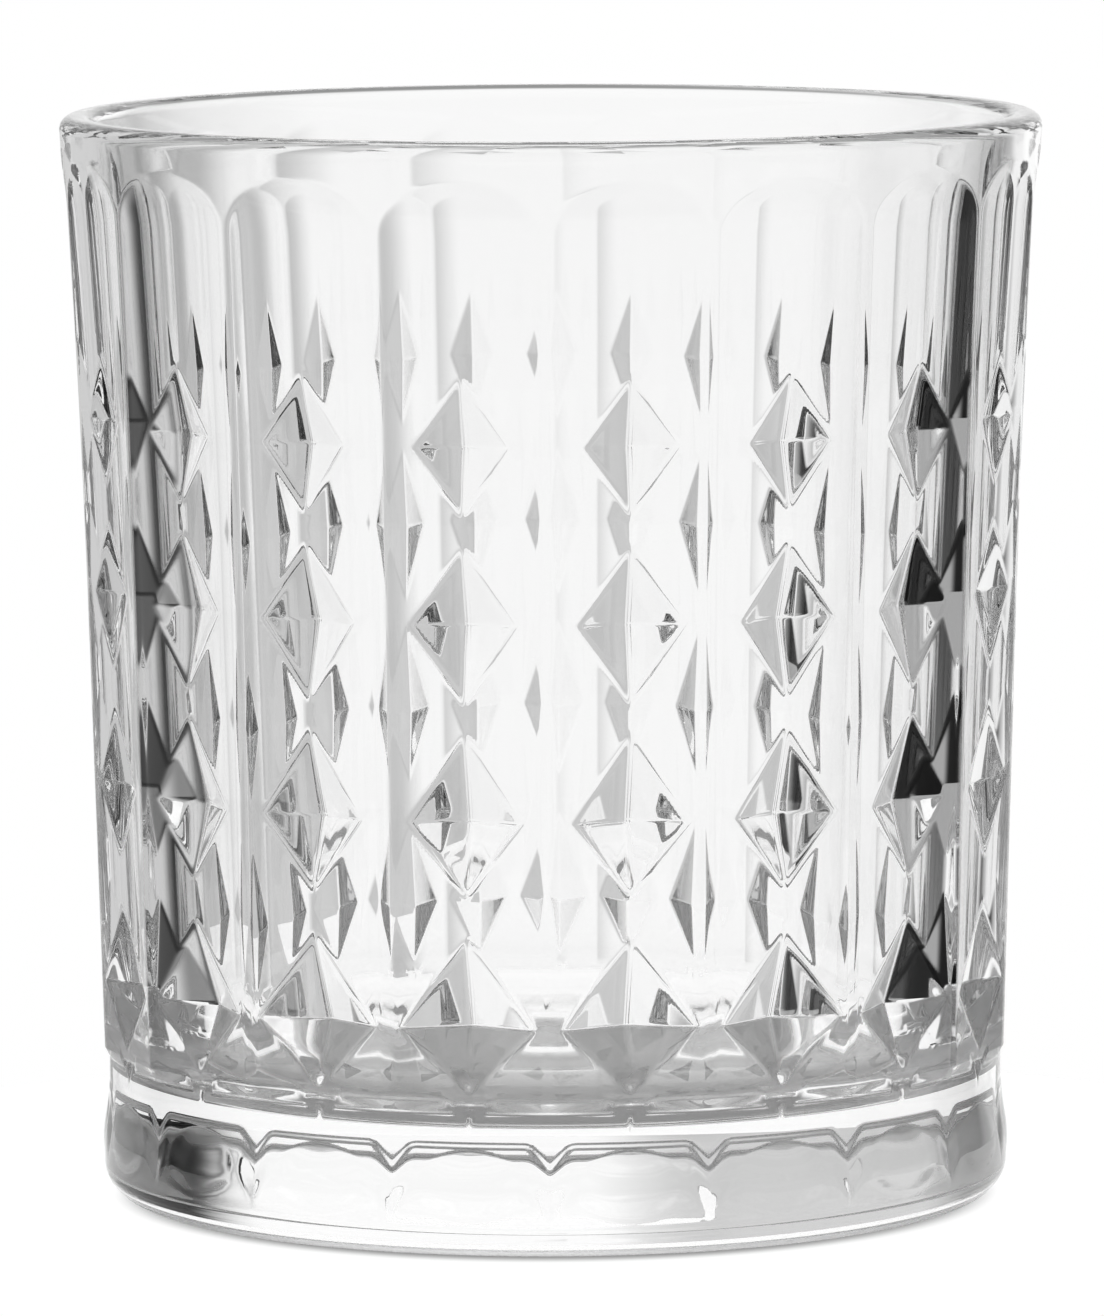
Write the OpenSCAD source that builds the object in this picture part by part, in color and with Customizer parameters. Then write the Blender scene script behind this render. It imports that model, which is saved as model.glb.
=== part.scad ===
// Old-fashioned tumbler of clear pressed glass.
// Its wall is a ring of flat panels, each with a column of sunk four-sided diamonds.
// Millimetres. Origin at the centre of the underside, +Z up, photographed side towards -Y.
// The real tumbler is one piece of glass: the nodes are its base, its wall and its rim,
// divided where the mould's own sections meet.

/* [Body] */
// Height from the resting face to the top of the rim
body_h = 93; // [88:0.5:105]
// Outside diameter at the rim
rim_d = 84; // [82:0.5:92]
// Outside diameter of the smooth band round the base
base_d = 76.8; // [74:0.2:79]
// Height above which the side turns outwards
flare_z = 50; // [40:1:60]
// How far that turn carries the rim out, inside and outside alike
flare_out = 0.7; // [0.4:0.1:1.8]

/* [Rim] */
// Wall thickness at the rim
rim_wall = 3; // [2.6:0.1:4]
// Radius of the rounding on both edges of the rim
lip_r = 1.2; // [0.6:0.1:1.3]
// Height of the plain rim above the topmost point of the panels
rim_h = 3.2; // [2:0.1:5]

/* [Base] */
// Height of the smooth band round the base
band_h = 12; // [11.5:0.5:14]
// How far the heel stands out beyond that band
heel_out = 0.5; // [0.2:0.1:1]
// Height up to which the heel keeps its full diameter
heel_z = 5; // [4:0.5:6]
// Height at which the heel has sloped back to the band
heel_h = 8.5; // [7:0.5:9.5]
// Radius of the rounding under the heel
corner_r = 3; // [2:0.25:3.75]
// Width of the ring that the tumbler rests on
foot_w = 5; // [3:0.5:8]
// Depth of the hollow under the base
push_up = 1.5; // [0.5:0.1:3]

/* [Inside] */
// Height of the inside floor above the resting face
floor_z = 10; // [10:0.5:11]
// Thickness of the wall at the floor, measured in from the smooth band
floor_wall = 4.9; // [4.5:0.1:7]
// Radius of the rounding between the floor and the inside wall
floor_r = 6; // [3:0.25:9]

/* [Panels] */
// Number of panels round the wall
panel_count = 18; // [16:1:20]
// Turn of the first panel from the front, towards the right
first_turn = 9.3; // [0:0.1:22]
// Width of the round rib left between two panels
rib_w = 0.8; // [0.4:0.1:1.6]
// How far the foot of the ribs stands out beyond the smooth band
ledge_out = 0.65; // [0.6:0.05:1]
// Height of the slope that joins the ribs to the smooth band
ledge_h = 1.3; // [0.8:0.1:2]
// Radius of the sweep that carries each panel out to the rim
arch_r = 20; // [10:1:30]

/* [Diamonds] */
// Heights of the diamonds below their widest line, from the lowest row to the highest
diamond_down = [5.4, 6.2, 6.6, 5.7]; // [4:0.1:7]
// Heights of the diamonds above their widest line, from the lowest row to the highest
diamond_up = [7.4, 7.3, 6.4, 5.7]; // [4:0.1:7.5]
// Flat land left on each side of the diamonds, from the lowest row to the highest
diamond_land = [0.85, 1.85, 2.26, 2.85]; // [0.6:0.01:4]
// Flat gaps between the rows, from the lowest to the highest
diamond_gap = [3.7, 2.5, 2.65]; // [1:0.05:5]
// Flat gap between the slope above the smooth band and the lowest row
first_gap = 0.67; // [0.5:0.01:2]
// Angles between the diamonds' faces and their panel, from the lowest row to the highest
diamond_angle = [23, 22.7, 22, 20.5]; // [14:0.1:24]

/* [Hidden] */

rim_out_r = rim_d / 2;
rim_in_r = rim_out_r - rim_wall;
base_r = base_d / 2;
heel_r = base_r + heel_out;
panel_step = 360 / panel_count;
cut_over = 1;
round_parts = 8;
side_parts = 5;

// The lip's roundings start here, and here the rim has its full diameter.
lip_z = body_h - lip_r;
// The plain rim is a node of its own above this plane.
rim_z = body_h - rim_h;
// The ribs start here, above the slope that joins them to the smooth band.
ledge_z = band_h + ledge_h;

// Outer side, measured over the ribs: straight up to flare_z, then turning outwards.
rib_foot_r = base_r + ledge_out;
side_slope = (rim_out_r - flare_out - rib_foot_r) / (lip_z - ledge_z);
flare_span = lip_z - flare_z;
function flare_part(z) = max(0, z - flare_z) / flare_span;
function rib_r(z) = rib_foot_r + side_slope * (z - ledge_z) + flare_out * pow(flare_part(z), 2);
function side_lean(z) = atan(side_slope + 2 * flare_out * flare_part(z) / flare_span);

// A panel is a flat that meets the round side at the edges of its two ribs.
rib_half_turn = asin(rib_w / 2 / base_r);
panel_half_turn = panel_step / 2 - rib_half_turn;
function panel_r(z) = rib_r(z) * cos(panel_half_turn);
function panel_half_w(z) = rib_r(z) * sin(panel_half_turn);

// Each panel sweeps out along arch_r and reaches the round side just under the plain rim.
arch_rise = sqrt(2 * arch_r * (rim_out_r - panel_r(lip_z)));
arch_z = rim_z - arch_rise;

// Inside wall: a straight taper rounded into the floor, with the outer side's turn above.
floor_in_r = base_r - floor_wall;
inner_lean = atan((rim_in_r - flare_out - floor_in_r) / (lip_z - floor_z));
function inner_r(z) = floor_in_r + (z - floor_z) * tan(inner_lean)
    + flare_out * pow(flare_part(z), 2);
floor_flat_r = floor_in_r - floor_r * (1 - sin(inner_lean)) / cos(inner_lean);

// The hollow under the base is a shallow dome inside the resting ring.
foot_out_r = heel_r - corner_r;
dome_edge_r = foot_out_r - foot_w;
dome_r = (pow(dome_edge_r, 2) + pow(push_up, 2)) / (2 * push_up);
dome_half_turn = asin(dome_edge_r / dome_r);

// Points of an arc, from one angle to another, about a centre given as radius and height.
function arc(centre, r, from, to) =
    [for (i = [0 : round_parts]) let (a = from + (to - from) * i / round_parts)
        centre + r * [cos(a), sin(a)]];

// Points up the outer side over the ribs, and up or down the inside wall.
function side_points(from, to, parts) =
    [for (i = [0 : parts]) let (z = from + (to - from) * i / parts) [rib_r(z), z]];
function inner_points(from, to, parts) =
    [for (i = [0 : parts]) let (z = from + (to - from) * i / parts) [inner_r(z), z]];

// The solid bottom, up to the inside floor, with most of the smooth band.
// The wall stands on its rim, face to face.
module base() {
    color([0.86, 0.9, 0.92, 0.55])
    rotate_extrude($fn = 180)
    polygon(concat(
        [[0, floor_z]],
        arc([0, push_up - dome_r], dome_r, 90, 90 - dome_half_turn),
        arc([foot_out_r, corner_r], corner_r, -90, 0),
        [[heel_r, heel_z], [base_r, heel_h], [base_r, floor_z]]));
}

// The wall before its panels are cut.
module turned_wall() {
    rotate_extrude($fn = 180)
    polygon(concat(
        [[base_r, floor_z], [base_r, band_h], [rib_foot_r, ledge_z]],
        side_points(flare_z, rim_z, side_parts),
        inner_points(rim_z, flare_z, side_parts),
        arc([floor_flat_r, floor_z + floor_r], floor_r, -inner_lean, -90)));
}

// Everything in front of one panel's face and of its sweep at the top.
module panel_cut() {
    out_r = max(rim_out_r, rib_foot_r) + cut_over;
    foot_z = band_h - cut_over;
    top_z = rim_z + cut_over;
    face = [for (i = [0 : side_parts - 1])
        let (z = flare_z + (arch_z - flare_z) * (i + 0.5) / side_parts) [panel_r(z), z]];
    sweep = [for (i = [0 : round_parts]) let (up = (top_z - arch_z) * i / round_parts)
        [panel_r(arch_z + up) + pow(up, 2) / (2 * arch_r), arch_z + up]];
    rotate([90, 0, -90])
    linear_extrude(height = 2 * panel_half_w(lip_z) + 2 * cut_over, center = true)
    polygon(concat(
        [[out_r, foot_z], [panel_r(foot_z), foot_z]],
        face, sweep, [[out_r, top_z]]));
}

// A diamond sunk into the panel: a pyramid lying on its side, with its point in the glass.
// Its widest line is at z, and it reaches down and up from there by different heights.
module diamond_cut(z, down, up, half_w, angle) {
    depth = half_w * tan(angle);
    grow = (depth + cut_over) / depth;
    translate([0, -panel_r(z), z])
    rotate([side_lean(z), 0, 0])
    polyhedron(
        points = [
            [0, depth, 0],
            [-half_w * grow, -cut_over, 0], [0, -cut_over, -down * grow],
            [half_w * grow, -cut_over, 0], [0, -cut_over, up * grow]],
        faces = [[0, 1, 2], [0, 2, 3], [0, 3, 4], [0, 4, 1], [4, 3, 2, 1]]);
}

// Foot of a row: the rows stack upwards from the slope above the base band.
function row_foot(row) = row == 0
    ? ledge_z + first_gap
    : row_foot(row - 1) + diamond_down[row - 1] + diamond_up[row - 1] + diamond_gap[row - 1];

module diamond_column() {
    for (row = [0 : len(diamond_down) - 1]) {
        z = row_foot(row) + diamond_down[row];
        half_w = panel_half_w(z) - diamond_land[row];
        diamond_cut(z, diamond_down[row], diamond_up[row], half_w, diamond_angle[row]);
    }
}

// The patterned wall, from the top of the smooth band to the plain rim.
module panelled_wall() {
    color([0.9, 0.94, 0.96, 0.5])
    difference() {
        turned_wall();
        for (i = [0 : panel_count - 1])
            rotate([0, 0, first_turn + i * panel_step]) panel_cut();
        for (i = [0 : panel_count - 1])
            rotate([0, 0, first_turn + i * panel_step]) diamond_column();
    }
}

// The plain rim with its rounded lip.
module rim() {
    color([0.94, 0.96, 0.98, 0.5])
    rotate_extrude($fn = 180)
    polygon(concat(
        [[inner_r(rim_z), rim_z], [rib_r(rim_z), rim_z]],
        arc([rim_out_r - lip_r, lip_z], lip_r, 0, 90),
        arc([rim_in_r + lip_r, lip_z], lip_r, 90, 180)));
}

base();
panelled_wall();
rim();
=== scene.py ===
"""The looks of the pressed-glass tumbler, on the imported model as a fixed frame.

The three CAD nodes are regions of one piece of glass, so one continuous skin stands for all of
them here. It is worked out from the same sizes, with the softened edges that pressing leaves.
"""
import math

import bpy
import numpy as np
from mathutils import Matrix, Vector
from mathutils.bvhtree import BVHTree


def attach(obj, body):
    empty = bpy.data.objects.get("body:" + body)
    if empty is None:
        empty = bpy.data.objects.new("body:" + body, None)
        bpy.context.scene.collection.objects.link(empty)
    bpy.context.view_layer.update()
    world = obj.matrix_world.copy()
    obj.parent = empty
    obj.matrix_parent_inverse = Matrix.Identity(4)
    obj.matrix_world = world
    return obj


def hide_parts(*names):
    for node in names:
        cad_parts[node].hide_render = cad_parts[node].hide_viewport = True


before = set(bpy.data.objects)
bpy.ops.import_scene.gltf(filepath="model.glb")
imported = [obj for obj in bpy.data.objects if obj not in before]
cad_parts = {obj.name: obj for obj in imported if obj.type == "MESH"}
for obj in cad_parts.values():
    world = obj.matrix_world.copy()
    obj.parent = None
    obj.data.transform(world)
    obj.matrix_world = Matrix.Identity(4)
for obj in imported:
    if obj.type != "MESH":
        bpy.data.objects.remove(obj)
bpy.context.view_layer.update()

scene = bpy.context.scene
MM = 0.001

# Sizes in millimetres, as in the CAD model.
BODY_H = 93.0
RIM_R = 42.0
BASE_R = 38.4
FLARE_Z = 50.0
FLARE_OUT = 0.7
RIM_WALL = 3.0
LIP_R = 1.2
RIM_H = 3.2
BAND_H = 12.0
HEEL_OUT = 0.5
HEEL_Z = 5.0
CORNER_R = 3.0
FOOT_W = 5.0
PUSH_UP = 1.5
FLOOR_Z = 10.0
FLOOR_IN_R = 33.5
FLOOR_ROUND = 6.0
PANELS = 18
FIRST_TURN = 9.3
RIB_W = 0.8
LEDGE_OUT = 0.65
LEDGE_H = 1.3
ARCH_R = 20.0
DIAMOND_DOWN = (5.4, 6.2, 6.6, 5.7)
DIAMOND_UP = (7.4, 7.3, 6.4, 5.7)
DIAMOND_LAND = (0.85, 1.85, 2.26, 2.85)
DIAMOND_GAP = (3.7, 2.5, 2.65)
FIRST_GAP = 0.67
DIAMOND_ANGLE = (23.0, 22.7, 22.0, 20.5)

# What pressing and fire polishing leave on the sharp CAD edges, in millimetres.
CREST_SOFT = 0.32
VALLEY_SOFT = 0.3
RIB_SOFT = 0.27
ARCH_SOFT = 0.05
LEDGE_SOFT = 0.04

# The photograph's frame, and the points in it that set the camera or place the small relief.
W, H = 1104, 1316
POINTS = {
    "left_column_ridge_1": (473, 1026),
    "left_column_ridge_2": (470, 820),
    "left_column_ridge_3": (465, 627),
    "left_column_ridge_4": (466, 449),
    "right_column_ridge_1": (628, 1028),
    "right_column_ridge_2": (627, 821),
    "right_column_ridge_3": (626, 627),
    "right_column_ridge_4": (625, 450),
    "rib": (547, 724),
    "right_rib": (713, 720),
    "arch_crown": (634, 181),
    "tab_top": (627, 1109),
    "scallop_tip": (546, 1168),
}

# The camera: distances in metres, angles in degrees, lens and sensor in millimetres.
CAM_DISTANCE = 0.924
CAM_ELEVATION = 6.41
CAM_AIM_X = -0.0001
CAM_AIM_Z = 0.046
CAM_ROLL = -0.27
CAM_LENS = 294.0
CAM_SENSOR = 36.0
CAM_FAR = 50

# Where a ray that misses is searched for the place nearest it, in shares of CAM_DISTANCE.
SEARCH_FROM = 0.8
SEARCH_TO = 1.2
SEARCH_PARTS = 400


def make_camera():
    """The photograph's camera, settled by its distance and aim, without shift."""
    data = bpy.data.cameras.new("camera")
    data.sensor_fit = "AUTO"
    data.sensor_width = CAM_SENSOR
    data.lens = CAM_LENS
    data.clip_end = CAM_FAR
    camera = bpy.data.objects.new("camera", data)
    tilt = math.radians(CAM_ELEVATION)
    aim = Vector((CAM_AIM_X, 0, CAM_AIM_Z))
    away = Vector((0, -math.cos(tilt), math.sin(tilt)))
    right = Vector((1, 0, 0))
    up = away.cross(right)
    turned = Matrix((right, up, away)).transposed()
    roll = Matrix.Rotation(math.radians(CAM_ROLL), 3, "Z")
    turned = (turned @ roll).to_4x4()
    camera.matrix_world = Matrix.Translation(aim + away * CAM_DISTANCE) @ turned
    scene.collection.objects.link(camera)
    scene.camera = camera
    return camera


camera = make_camera()


def surface_of(pieces):
    """The pieces' faces, as they stand, for rays to meet."""
    verts, faces = [], []
    for piece in pieces:
        first = len(verts)
        verts += [piece.matrix_world @ v.co for v in piece.data.vertices]
        faces += [[first + i for i in p.vertices] for p in piece.data.polygons]
    return BVHTree.FromPolygons(verts, faces)


def placed(point, surface):
    """The place on the surface that shows at an image point; a miss takes the nearest place."""
    data, longest = camera.data, max(W, H)
    along = Vector((
        point[0] - W / 2 + data.shift_x * longest,
        H / 2 - point[1] + data.shift_y * longest,
        -longest * data.lens / data.sensor_width))
    start = camera.matrix_world.translation
    along = (camera.matrix_world.to_3x3() @ along).normalized()
    place = surface.ray_cast(start, along)[0]
    if place is None:
        steps = np.linspace(SEARCH_FROM, SEARCH_TO, SEARCH_PARTS) * CAM_DISTANCE
        hits = (surface.find_nearest(start + along * step) for step in steps)
        place = min(hits, key=lambda hit: hit[3])[0]
    return place


def shown_at(place):
    """The image point at which a place shows."""
    data, longest = camera.data, max(W, H)
    x, y, z = camera.matrix_world.inverted() @ Vector(place)
    scale = -longest * data.lens / data.sensor_width / z
    return (
        x * scale + W / 2 - data.shift_x * longest,
        H / 2 + data.shift_y * longest - y * scale)


NODES = ("base", "panelled_wall", "rim")
cad_surface = surface_of([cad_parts[name] for name in NODES])

# Small relief that the CAD model leaves out, in millimetres.
# The tabs under the columns, with the groove round them and the notch in each.
TAB_TOP = placed(POINTS["tab_top"], cad_surface).z / MM
TAB_HALF_W = 1.05
TAB_SOFT = 0.3
GROOVE_HALF_W = 0.22
GROOVE_DEPTH = 0.1
NOTCH_DROP = 0.2
NOTCH_HALF_W = 0.65
NOTCH_H = 1.25
NOTCH_DEPTH = 0.2
NOTCH_SOFT = 0.15
# The heel's upper edge: a small step, scalloped under the ribs, with a plain face below it and
# then the heel's slope.
SKIRT_Z = 9.6
SKIRT_STEP = 0.07
SKIRT_SOFT = 0.4
SKIRT_FACE = 0.8
SCALLOP_TIP = placed(POINTS["scallop_tip"], cad_surface).z / MM
SCALLOP_H = SKIRT_Z - SCALLOP_TIP
SCALLOP_HALF_W = 1.6
SCALLOP_SOFT = 0.3
# The low pads on the heel, one under each column.
PAD_Z = 6.2
PAD_HALF_H = 3.0
PAD_HALF_W = 4.4
PAD_OUT = 0.08
PAD_RISE = 2
PAD_SOFT = 0.5

# Derived, by the CAD model's own rules.
LIP_Z = BODY_H - LIP_R
RIM_Z = BODY_H - RIM_H
LEDGE_Z = BAND_H + LEDGE_H
HEEL_R = BASE_R + HEEL_OUT
RIB_FOOT_R = BASE_R + LEDGE_OUT
SIDE_SLOPE = (RIM_R - FLARE_OUT - RIB_FOOT_R) / (LIP_Z - LEDGE_Z)
STEP = 2 * math.pi / PANELS
PANEL_HALF_TURN = STEP / 2 - math.asin(RIB_W / 2 / BASE_R)


def flare_part(z):
    """How far up the outward turn of the side a height is, from 0 to 1."""
    return np.maximum(0, z - FLARE_Z) / (LIP_Z - FLARE_Z)


def rib_r(z):
    """Radius of the round side that the ribs and the rim stand on."""
    return RIB_FOOT_R + SIDE_SLOPE * (z - LEDGE_Z) + FLARE_OUT * flare_part(z) ** 2


def panel_r(z):
    """Distance of a panel's flat face from the axis, before its sweep out to the rim."""
    return rib_r(z) * math.cos(PANEL_HALF_TURN)


ARCH_Z = RIM_Z - math.sqrt(2 * ARCH_R * (RIM_R - panel_r(LIP_Z)))
INNER_LEAN = math.atan((RIM_R - RIM_WALL - FLARE_OUT - FLOOR_IN_R) / (LIP_Z - FLOOR_Z))


def inner_r(z):
    """Radius of the inside wall above its rounding."""
    return FLOOR_IN_R + (z - FLOOR_Z) * math.tan(INNER_LEAN) + FLARE_OUT * flare_part(z) ** 2


def soft_min(a, b, width):
    """The lower of a and b, rounded where they are within width of each other."""
    near = np.maximum(width - np.abs(a - b), 0)
    return np.minimum(a, b) - near**2 / (4 * width)


def soft_max(a, b, width):
    """The higher of a and b, rounded in the same way."""
    return -soft_min(-a, -b, width)


def soft_abs(x, width):
    """The size of x, rounded where it is under width."""
    return np.where(np.abs(x) < width, x * x / (2 * width) + width / 2, np.abs(x))


def smooth(x):
    """0 below 0, 1 above 1, and a soft step between."""
    x = np.clip(x, 0, 1)
    return x * x * (3 - 2 * x)


def diamond_rows():
    """Each row's ridge height, heights below and above, half width and depth, lowest first."""
    rows = []
    foot = LEDGE_Z + FIRST_GAP
    for row, (down, up) in enumerate(zip(DIAMOND_DOWN, DIAMOND_UP)):
        ridge = foot + down
        half_w = rib_r(ridge) * math.sin(PANEL_HALF_TURN) - DIAMOND_LAND[row]
        depth = half_w * math.tan(math.radians(DIAMOND_ANGLE[row]))
        rows.append((ridge, down, up, half_w, depth))
        foot = ridge + up + (DIAMOND_GAP[row] if row < len(DIAMOND_GAP) else 0)
    return rows


ROWS = diamond_rows()
# A place's distance across a pyramid depends on how deep it lies, so it is settled in passes.
PYRAMID_PASSES = 3


def wall_r(turn, z):
    """Radius of the panelled wall with its diamonds, as if it went on down past the ledge."""
    face = panel_r(z) + np.maximum(0, z - ARCH_Z) ** 2 / (2 * ARCH_R)
    flat = face / np.cos(turn)
    beside = face / np.cos(STEP - np.abs(turn))
    skin = soft_min(flat, beside, RIB_SOFT)
    skin = soft_min(skin, rib_r(z), ARCH_SOFT)
    for ridge, down, up, half_w, depth in ROWS:
        steepness = depth * math.hypot(1 / half_w, 2 / (down + up))
        upright_soft = 2 * VALLEY_SOFT / (down + up)
        sunk = skin
        for _ in range(PYRAMID_PASSES):
            share = soft_abs(sunk * np.sin(turn), VALLEY_SOFT) / half_w
            share = share + soft_max((ridge - z) / down, (z - ridge) / up, upright_soft)
            pyramid = (panel_r(z) - depth * (1 - share)) / np.cos(turn)
            sunk = soft_min(skin, pyramid, steepness * CREST_SOFT)
        skin = sunk
    return skin


def band_r(turn, z):
    """Radius of the smooth band, of the scalloped heel below it and of the heel's soft pads."""
    across = BASE_R * turn
    from_rib = BASE_R * (STEP / 2 - np.abs(turn))
    zero, one = np.zeros_like(turn), np.ones_like(turn)
    edge = SKIRT_Z - SCALLOP_H * soft_max(1 - from_rib / SCALLOP_HALF_W, zero, SCALLOP_SOFT)
    skirt = SKIRT_STEP * smooth((edge - z) / SKIRT_SOFT + 0.5)
    slope = smooth((edge - SKIRT_FACE - z) / (SKIRT_Z - SKIRT_FACE - HEEL_Z))
    skirt = skirt + (HEEL_OUT - SKIRT_STEP) * slope
    pad = np.maximum(0, 1 - (across / PAD_HALF_W) ** 2 - ((z - PAD_Z) / PAD_HALF_H) ** 2)
    return BASE_R + skirt + PAD_OUT * soft_min(PAD_RISE * pad, one, PAD_SOFT)


def outer_r(turn, z):
    """Radius of the outer skin at an angle from the panel's middle, in radians, and a height.

    A slope joins the wall to the band. Under each column the band reaches up in a small tab,
    which has a V-shaped notch. A fine groove runs along the band's edge and round the tabs.
    """
    wall, band = wall_r(turn, z), band_r(turn, z)
    across, zero = BASE_R * turn, np.zeros_like(turn)
    over_tab = soft_max(np.abs(across) - TAB_HALF_W, z - TAB_TOP, TAB_SOFT)
    outside = soft_min(z - BAND_H, over_tab, TAB_SOFT)
    share = soft_min(soft_max(outside / LEDGE_H, zero, LEDGE_SOFT), 1.0, LEDGE_SOFT)
    skin = band + (wall - band) * share
    skin = skin - GROOVE_DEPTH * smooth(1 - np.abs(outside / GROOVE_HALF_W - 1))
    notch = np.abs(across) / NOTCH_HALF_W + np.abs(TAB_TOP - NOTCH_DROP - z) / NOTCH_H
    dent = NOTCH_DEPTH * soft_max(1 - notch, zero, NOTCH_SOFT)
    return skin - np.where(share < 0.5, dent * (1 - 2 * share), 0)


# The skin's columns across half a panel, in millimetres from its middle: stops, the last of them
# at the middle of the rib, and the steps from stop to stop.
COLUMN_STOPS = (0, 0.3, 2.7, 5.6, 6.86)
COLUMN_STEPS = (0.15, 0.2, 0.29, 0.18)

# How far apart the skin's rows stand, in millimetres, and into how many parts a rounding goes.
DOME_STEP = 1.5
FOOT_STEP = 1.0
CORNER_PARTS = 16
HEEL_STEP = 0.5
SCALLOP_STEP = 0.2
BAND_STEP = 0.6
LEDGE_STEP = 0.1
FACE_STEP = 0.24
RIDGE_STEP = 0.12
PLAIN_STEP = 0.8
ARCH_STEP = 0.2
RIM_STEP = 0.5
LIP_PARTS = 10
INNER_STEPS = (1.2, 2.0)
FLOOR_ROUND_PARTS = 14
FLOOR_STEP = 1.6

# How far the closer rows reach past an edge, or how far rows keep off a rounding or a pole.
POLE_MARGIN = 1.0
DOME_MARGIN = 0.6
FOOT_MARGIN = 0.5
CORNER_MARGIN = 0.3
BAND_MARGIN = 0.4
LEDGE_MARGIN = 1.6
RIDGE_MARGIN = 0.4
TIP_MARGIN = 0.7
ARCH_MARGIN = 0.5
RIM_MARGIN = 0.3
LIP_MARGIN = 0.2
INNER_MARGIN = 0.8


def spread(stops, steps):
    """Values from stop to stop, in even steps close to the ones asked for."""
    values = [stops[0]]
    for low, high, step in zip(stops, stops[1:], steps):
        count = max(1, round(abs(high - low) / step))
        values += list(np.linspace(low, high, count + 1)[1:])
    return np.array(values)


def arc(centre_r, centre_z, radius, start, end, parts):
    """Radii and heights along a rounding, from one angle to another, in degrees."""
    angles = np.radians(np.linspace(start, end, parts + 1))
    return [(centre_r + radius * math.cos(a), centre_z + radius * math.sin(a)) for a in angles]


def outer_heights():
    """Heights of the rows up the outer side, from the heel's rounding to the lip's."""
    stops = [CORNER_R + CORNER_MARGIN]
    steps = []

    def up_to(height, step):
        stops.append(height)
        steps.append(step)

    up_to(SKIRT_Z - SCALLOP_H - SKIRT_FACE, HEEL_STEP)
    up_to(SKIRT_Z + BAND_MARGIN, SCALLOP_STEP)
    up_to(BAND_H - BAND_MARGIN, BAND_STEP)
    up_to(LEDGE_Z + LEDGE_MARGIN, LEDGE_STEP)
    for ridge, _, up, _, _ in ROWS:
        up_to(ridge - RIDGE_MARGIN, FACE_STEP)
        up_to(ridge + RIDGE_MARGIN, RIDGE_STEP)
        up_to(ridge + up + TIP_MARGIN, FACE_STEP)
    up_to(ARCH_Z - ARCH_MARGIN, PLAIN_STEP)
    up_to(RIM_Z + RIM_MARGIN, ARCH_STEP)
    up_to(LIP_Z - LIP_MARGIN, RIM_STEP)
    return spread(stops, steps)


def skin_rows():
    """The skin's rows, from the middle of the underside round to the middle of the floor."""
    half = spread(COLUMN_STOPS, COLUMN_STEPS) / COLUMN_STOPS[-1] * (STEP / 2)
    local = np.concatenate((-half[:0:-1], half[:-1]))
    turns = np.concatenate([math.radians(FIRST_TURN) + k * STEP + local for k in range(PANELS)])
    local = np.tile(local, PANELS)
    rows = []

    def add_round(radius, z):
        rows.append((np.full_like(local, radius), np.full_like(local, z)))

    def add_arc(*values):
        for radius, z in arc(*values):
            add_round(radius, z)

    edge_r = HEEL_R - CORNER_R - FOOT_W
    dome_r = (edge_r**2 + PUSH_UP**2) / (2 * PUSH_UP)
    for radius in spread((POLE_MARGIN, edge_r - DOME_MARGIN), (DOME_STEP,)):
        add_round(radius, PUSH_UP - dome_r + math.sqrt(dome_r**2 - radius**2))
    foot_stops = (edge_r + FOOT_MARGIN, HEEL_R - CORNER_R - CORNER_MARGIN)
    for radius in spread(foot_stops, (FOOT_STEP,)):
        add_round(radius, 0)
    add_arc(HEEL_R - CORNER_R, CORNER_R, CORNER_R, -90, 0, CORNER_PARTS)
    for z in outer_heights():
        rows.append((outer_r(local, np.full_like(local, z)), np.full_like(local, z)))
    add_arc(RIM_R - LIP_R, LIP_Z, LIP_R, 0, 90, LIP_PARTS)
    add_arc(RIM_R - RIM_WALL + LIP_R, LIP_Z, LIP_R, 90, 180, LIP_PARTS)
    round_from = FLOOR_Z + FLOOR_ROUND * (1 - math.sin(INNER_LEAN))
    for z in spread((LIP_Z - INNER_MARGIN, FLARE_Z, round_from + INNER_MARGIN), INNER_STEPS):
        add_round(inner_r(z), z)
    flat_r = FLOOR_IN_R - FLOOR_ROUND * (1 - math.sin(INNER_LEAN)) / math.cos(INNER_LEAN)
    lean = math.degrees(INNER_LEAN)
    add_arc(flat_r, FLOOR_Z + FLOOR_ROUND, FLOOR_ROUND, -lean, -90, FLOOR_ROUND_PARTS)
    for radius in spread((flat_r - INNER_MARGIN, POLE_MARGIN), (FLOOR_STEP,)):
        add_round(radius, FLOOR_Z)
    return turns, rows


def build_glass():
    """The tumbler's one skin: a ring of quads between each two rows, closed at both poles."""
    turns, rows = skin_rows()
    count = len(turns)
    radii = np.array([row[0] for row in rows])
    heights = np.array([row[1] for row in rows])
    places = np.stack((radii * np.sin(turns), -radii * np.cos(turns), heights), axis=-1)
    poles = [(0, 0, PUSH_UP), (0, 0, FLOOR_Z)]
    verts = np.concatenate((places.reshape(-1, 3), poles)) * MM
    here = np.arange(count)
    following = np.roll(here, -1)
    faces = []
    for row in range(len(rows) - 1):
        low, high = row * count, (row + 1) * count
        quads = (low + here, low + following, high + following, high + here)
        faces += np.stack(quads, axis=-1).tolist()
    under, floor = len(verts) - 2, len(verts) - 1
    last = (len(rows) - 1) * count
    faces += [[under, int(b), int(a)] for a, b in zip(here, following)]
    faces += [[floor, int(last + a), int(last + b)] for a, b in zip(here, following)]
    mesh = bpy.data.meshes.new("tumbler_glass")
    mesh.from_pydata(verts.tolist(), [], faces)
    mesh.validate()
    mesh.shade_smooth()
    piece = bpy.data.objects.new("tumbler_glass", mesh)
    scene.collection.objects.link(piece)
    return piece


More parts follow.
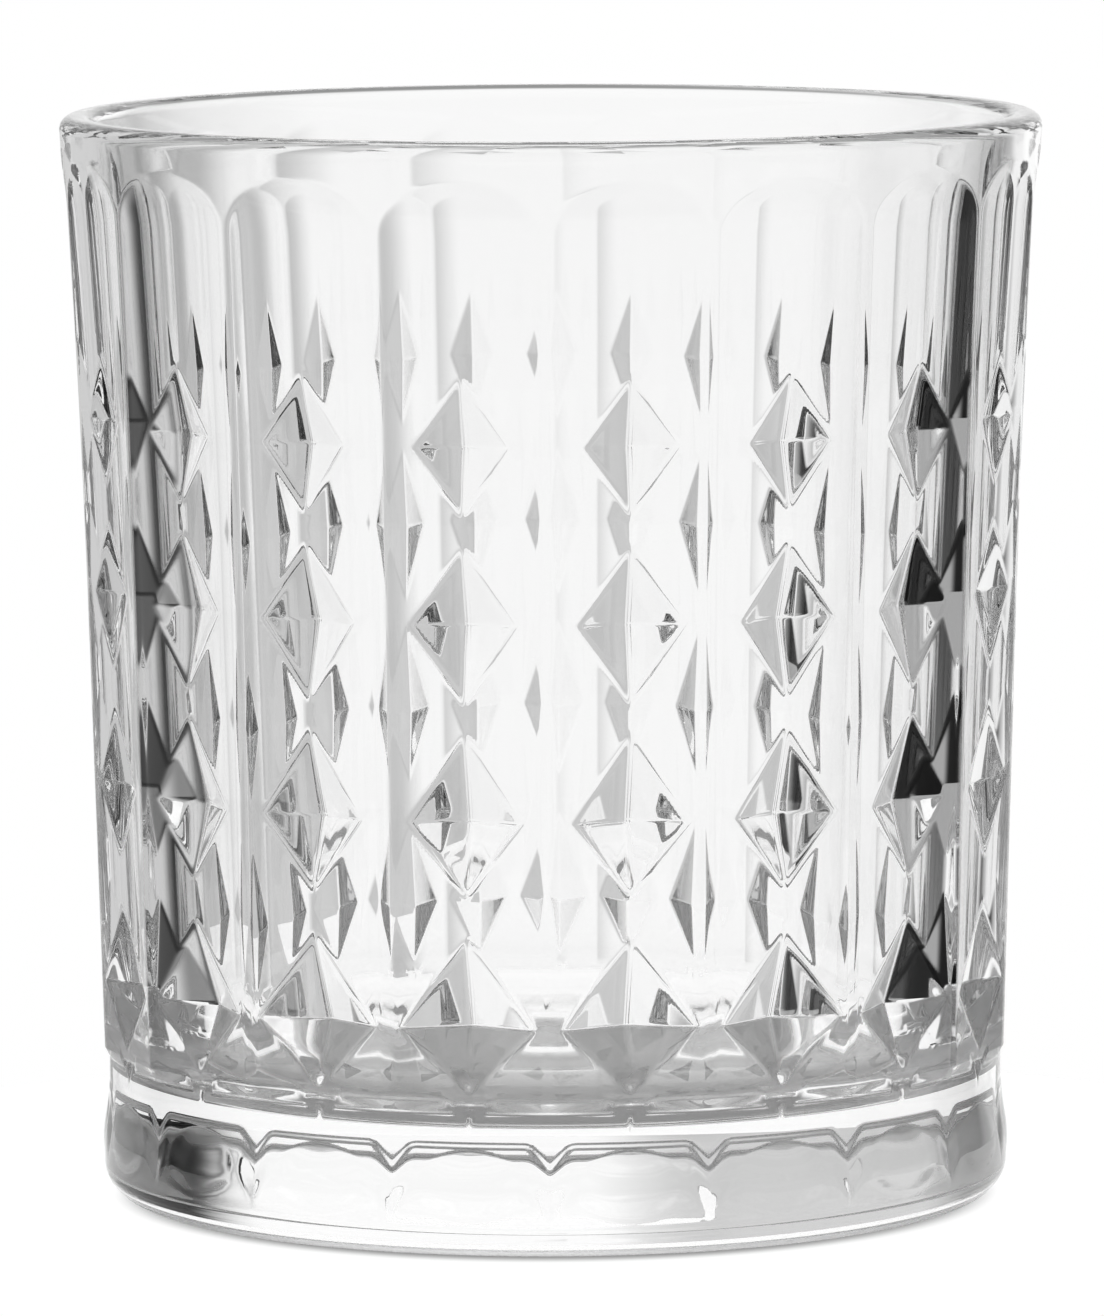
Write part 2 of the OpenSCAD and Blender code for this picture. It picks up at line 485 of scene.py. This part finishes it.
# The glass is faintly uneven, in long upright waves, and ground matt on its resting ring, up to
# MATT_Z. Lengths are in metres.
GLASS_IOR = 1.52
WAVE_ACROSS = 0.009
WAVE_UP = 0.05
WAVE_HEIGHT = 0.00003
MATT_Z = 0.0007
MATT_END = 1.3 * MATT_Z
MATT = 0.35


def glass_material():
    """Clear glass, smooth but for its waves and its matt resting ring."""
    material = bpy.data.materials.new("clear_pressed_glass")
    material.use_nodes = True
    tree = material.node_tree
    shader = tree.nodes["Principled BSDF"]
    shader.inputs["Base Color"].default_value = (1, 1, 1, 1)
    shader.inputs["IOR"].default_value = GLASS_IOR
    shader.inputs["Transmission Weight"].default_value = 1.0
    place = tree.nodes.new("ShaderNodeTexCoord")
    stretch = tree.nodes.new("ShaderNodeMapping")
    stretch.inputs["Scale"].default_value = (1 / WAVE_ACROSS, 1 / WAVE_ACROSS, 1 / WAVE_UP)
    tree.links.new(place.outputs["Object"], stretch.inputs["Vector"])
    waves = tree.nodes.new("ShaderNodeTexNoise")
    waves.inputs["Scale"].default_value = 1.0
    waves.inputs["Detail"].default_value = 1.0
    tree.links.new(stretch.outputs["Vector"], waves.inputs["Vector"])
    bump = tree.nodes.new("ShaderNodeBump")
    bump.inputs["Strength"].default_value = 1.0
    bump.inputs["Distance"].default_value = WAVE_HEIGHT
    tree.links.new(waves.outputs["Fac"], bump.inputs["Height"])
    tree.links.new(bump.outputs["Normal"], shader.inputs["Normal"])
    split = tree.nodes.new("ShaderNodeSeparateXYZ")
    tree.links.new(place.outputs["Object"], split.inputs["Vector"])
    matt = tree.nodes.new("ShaderNodeMapRange")
    tree.links.new(split.outputs["Z"], matt.inputs["Value"])
    matt.inputs["From Min"].default_value = MATT_Z
    matt.inputs["From Max"].default_value = MATT_END
    matt.inputs["To Min"].default_value = MATT
    matt.inputs["To Max"].default_value = 0.0
    tree.links.new(matt.outputs["Result"], shader.inputs["Roughness"])
    return material


# The studio round the glass: cards and walls, each given by its brightness, by the directions
# that it fills as seen from the glass, and by the softness of its edges, in degrees. Azimuth is 0
# straight behind the glass and grows to the right. Each one covers those before it.
STUDIO = (
    ("dark_room", 0.08, (-360, 360), (-360, 360), (1, 1)),
    ("floor_round_the_stand", 0.45, (-360, 360), (-360, -22), (1, 16)),
    ("floor_in_front", 0.7, (100, 275), (-22, 1), (30, 8)),
    ("softbox_overhead", 0.8, (100, 290), (42, 100), (40, 16)),
    ("ceiling_behind", 0.2, (-70, 100), (40, 100), (20, 12)),
    ("softbox_front_left", 0.6, (200, 285), (7, 36), (14, 8)),
    ("softbox_front_right", 0.5, (118, 160), (10, 34), (12, 8)),
    ("wall_left", 0.36, (-75, -45), (0, 60), (10, 12)),
    ("wall_left_behind", 0.72, (-50, -9), (-60, 42), (16, 10)),
    ("floor_right_behind", 0.5, (36, 90), (-60, -2), (10, 6)),
    ("wall_right", 0.1, (36, 112), (0, 27), (12, 8)),
    ("black_flag", 0.0, (40, 66), (-13, 36), (6, 6)),
    ("white_sweep", 1.0, (-9, 36), (-31, 31), (14, 10)),
)
# What the camera itself sees past the glass and the stand.
CAMERA_WHITE = 1.0
HALF_TURN = 180.0  # degrees


def math_node(tree, operation, first, *others):
    """The output of a Math node; what is passed in is a value or another node's output."""
    node = tree.nodes.new("ShaderNodeMath")
    node.operation = operation
    for socket, value in zip(node.inputs, (first, *others)):
        if isinstance(value, bpy.types.NodeSocket):
            tree.links.new(value, socket)
        else:
            socket.default_value = value
    return node.outputs[0]


def window(tree, angle, limits, softness):
    """1 where the angle is between its limits and 0 outside them, with soft edges."""
    middle, half = (limits[0] + limits[1]) / 2, (limits[1] - limits[0]) / 2
    off = math_node(tree, "SUBTRACT", angle, middle)
    off = math_node(tree, "WRAP", off, HALF_TURN, -HALF_TURN)
    edge = tree.nodes.new("ShaderNodeMapRange")
    edge.interpolation_type = "SMOOTHSTEP"
    tree.links.new(math_node(tree, "ABSOLUTE", off), edge.inputs["Value"])
    edge.inputs["From Min"].default_value = half - softness / 2
    edge.inputs["From Max"].default_value = half + softness / 2
    edge.inputs["To Min"].default_value = 1
    edge.inputs["To Max"].default_value = 0
    return edge.outputs["Result"]


def make_world():
    """The studio as the glass sees it; the camera itself sees plain white."""
    world = bpy.data.worlds.new("studio")
    world.use_nodes = True
    tree = world.node_tree
    direction = tree.nodes.new("ShaderNodeTexCoord")
    split = tree.nodes.new("ShaderNodeSeparateXYZ")
    tree.links.new(direction.outputs["Generated"], split.inputs["Vector"])
    x, y, z = split.outputs
    azimuth = math_node(tree, "DEGREES", math_node(tree, "ARCTAN2", x, y))
    elevation = math_node(tree, "DEGREES", math_node(tree, "ARCSINE", z))
    light = 0.0
    for name, brightness, turns, heights, softness in STUDIO:
        across = window(tree, azimuth, turns, softness[0])
        upward = window(tree, elevation, heights, softness[1])
        mask = math_node(tree, "MULTIPLY", across, upward)
        mask.node.label = name
        kept = math_node(tree, "MULTIPLY", light, math_node(tree, "SUBTRACT", 1.0, mask))
        light = math_node(tree, "MULTIPLY_ADD", mask, brightness, kept)
    rays = tree.nodes.new("ShaderNodeLightPath")
    seen = tree.nodes.new("ShaderNodeMix")
    tree.links.new(rays.outputs["Is Camera Ray"], seen.inputs["Factor"])
    tree.links.new(light, seen.inputs["A"])
    seen.inputs["B"].default_value = CAMERA_WHITE
    tree.links.new(seen.outputs["Result"], tree.nodes["Background"].inputs["Color"])
    scene.world = world


# The round white stand, in metres, and the soft lamp above it. The stand has a painted shadow
# under the glass, because the glass casts no shadow of its own.
STAND_R = 0.078
STAND_DROP = 0.0002
STAND_CORNERS = 96
STAND_WHITE = 0.9
STAND_ROUGHNESS = 0.8
# The painted shadow under the glass: its radius, the width of its soft edge and its darkness.
SHADE_R = 0.0345
SHADE_SOFT = 0.004
SHADE = 0.35
LAMP_SIZE = 1.0
LAMP_HEIGHT = 1.2
LAMP_POWER = 11.0


def stand_material():
    """Matt white, with a painted shadow where the glass stands on it."""
    material = bpy.data.materials.new("matt_white_painted_shadow")
    material.use_nodes = True
    tree = material.node_tree
    place = tree.nodes.new("ShaderNodeNewGeometry")
    length = tree.nodes.new("ShaderNodeVectorMath")
    length.operation = "LENGTH"
    tree.links.new(place.outputs["Position"], length.inputs[0])
    shade = tree.nodes.new("ShaderNodeMapRange")
    shade.interpolation_type = "SMOOTHSTEP"
    tree.links.new(length.outputs["Value"], shade.inputs["Value"])
    shade.inputs["From Min"].default_value = SHADE_R
    shade.inputs["From Max"].default_value = SHADE_R + SHADE_SOFT
    shade.inputs["To Min"].default_value = SHADE
    shade.inputs["To Max"].default_value = STAND_WHITE
    shader = tree.nodes["Principled BSDF"]
    shader.inputs["Roughness"].default_value = STAND_ROUGHNESS
    shader.inputs["Specular IOR Level"].default_value = 0.0
    tree.links.new(shade.outputs["Result"], shader.inputs["Base Color"])
    return material


def make_stand():
    """A plain disc, just under the glass."""
    mesh = bpy.data.meshes.new("stand")
    angles = np.linspace(0, 2 * math.pi, STAND_CORNERS, endpoint=False)
    rim = [(STAND_R * math.cos(a), STAND_R * math.sin(a), -STAND_DROP) for a in angles]
    mesh.from_pydata(rim, [], [list(range(STAND_CORNERS))])
    mesh.materials.append(stand_material())
    stand = bpy.data.objects.new("stand", mesh)
    scene.collection.objects.link(stand)


def make_lamp():
    """Lights the stand alone: the glass shows the studio and not the lamp."""
    data = bpy.data.lights.new("overhead", "AREA")
    data.size = LAMP_SIZE
    data.energy = LAMP_POWER
    lamp = bpy.data.objects.new("overhead", data)
    lamp.location = (0, 0, LAMP_HEIGHT)
    lamp.visible_camera = lamp.visible_glossy = lamp.visible_transmission = False
    scene.collection.objects.link(lamp)


# The picture's gamma, and how often a path of light may turn in the glass.
VIEW_GAMMA = 0.7
CLEAR_BOUNCES = 32
GLOSSY_BOUNCES = 16

make_world()
make_stand()
make_lamp()
glass = build_glass()
glass.visible_shadow = glass.visible_diffuse = False
glass.data.materials.append(glass_material())
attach(glass, "root")
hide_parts("base", "panelled_wall", "rim")
scene.view_settings.view_transform = "Standard"
scene.view_settings.gamma = VIEW_GAMMA
scene.cycles.max_bounces = scene.cycles.transmission_bounces = CLEAR_BOUNCES
scene.cycles.glossy_bounces = GLOSSY_BOUNCES

# The height at which the ribs' image points are taken, in millimetres, the distance from the axis
# at which a ray inwards to the glass starts, in metres, and the heights tried for an arch's crown.
RIB_POINT_Z = 45.0
RAY_START = 0.1
ARCH_PARTS = 400


def write_points():
    """Works out where the glass's outermost corners and each thing show in the image; nothing is
    kept or printed.
    """
    surface = surface_of([glass])
    corners = [glass.matrix_world @ v.co for v in glass.data.vertices]
    images = np.array([shown_at(corner) for corner in corners])
    eye = camera.matrix_world.translation
    for edge, axis, sign in (("left", 0, 1), ("right", 0, -1), ("top", 1, 1), ("bottom", 1, -1)):
        for index in np.argsort(images[:, axis] * sign):
            line = corners[index] - eye
            hit = surface.ray_cast(eye, line.normalized())
            if hit[0] is None or hit[3] > line.length - MM:
                break
    columns = {"left": math.radians(FIRST_TURN) - STEP, "right": math.radians(FIRST_TURN)}
    places = {
        "rib": (columns["right"] - STEP / 2, RIB_POINT_Z),
        "right_rib": (columns["right"] + STEP / 2, RIB_POINT_Z),
        "arch_crown": (columns["right"], None),
        "tab_top": (columns["right"], TAB_TOP),
        "scallop_tip": (columns["right"] - STEP / 2, SCALLOP_TIP),
    }
    for side, turn in columns.items():
        for row, values in enumerate(ROWS):
            places[f"{side}_column_ridge_{row + 1}"] = (turn, values[0])
    for name, (turn, height) in places.items():
        if height is None:
            heights = np.linspace(ARCH_Z, RIM_Z, ARCH_PARTS)
            free = panel_r(heights) + (heights - ARCH_Z) ** 2 / (2 * ARCH_R) - rib_r(heights)
            height = heights[np.argmin(np.abs(free))]
        outward = Vector((math.sin(turn), -math.cos(turn), 0))
        start = outward * RAY_START + Vector((0, 0, height * MM))
        x, y = shown_at(surface.ray_cast(start, -outward)[0])


write_points()
